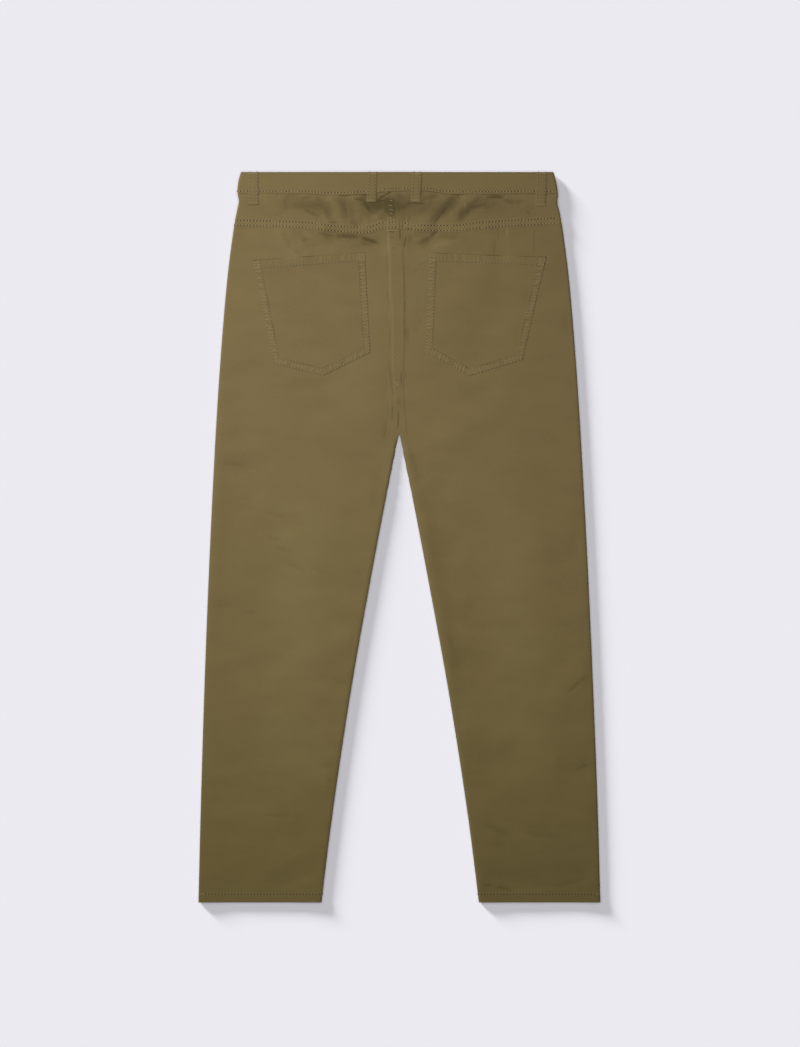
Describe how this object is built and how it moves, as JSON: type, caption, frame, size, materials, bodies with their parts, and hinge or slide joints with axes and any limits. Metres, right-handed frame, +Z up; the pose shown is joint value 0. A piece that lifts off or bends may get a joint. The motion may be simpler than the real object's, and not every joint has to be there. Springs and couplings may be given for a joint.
{
  "type": "five-pocket trousers",
  "caption": "Straight olive cotton twill trousers lying flat on their front, back side up, with a yoke, patch pockets, belt loops, a zip fly and a button",
  "frame": {"origin": "on the surface the garment lies on, in the middle of its length and width", "axes": "+Y from the hems to the waist, +X to the right seen from above with the waist away from the viewer (the wearer's right), +Z up from the surface, out of the back"},
  "size_m": [0.5824, 1.058, 0.0117],
  "materials": {
    "twill": "washed cotton twill, matt, with a fine diagonal rib",
    "zip": "antique brass chain on a woven tape",
    "button": "antique brass, plain"
  },
  "bodies": {
    "root": {"back_left": "twill", "back_right": "twill", "yoke_left": "twill", "yoke_right": "twill", "back_pocket_left": "twill", "back_pocket_right": "twill", "front_left": "twill", "front_right": "twill", "front_pocket_facing_left": "twill", "front_pocket_facing_right": "twill", "coin_pocket": "twill", "waistband": "twill", "belt_loop_side_left": "twill", "belt_loop_centre_left": "twill", "belt_loop_centre_right": "twill", "belt_loop_side_right": "twill", "belt_loop_front_left": "twill", "belt_loop_front_right": "twill", "fly_shield": "twill", "fly_zip": "zip", "button": "button"}
  },
  "joints": []
}
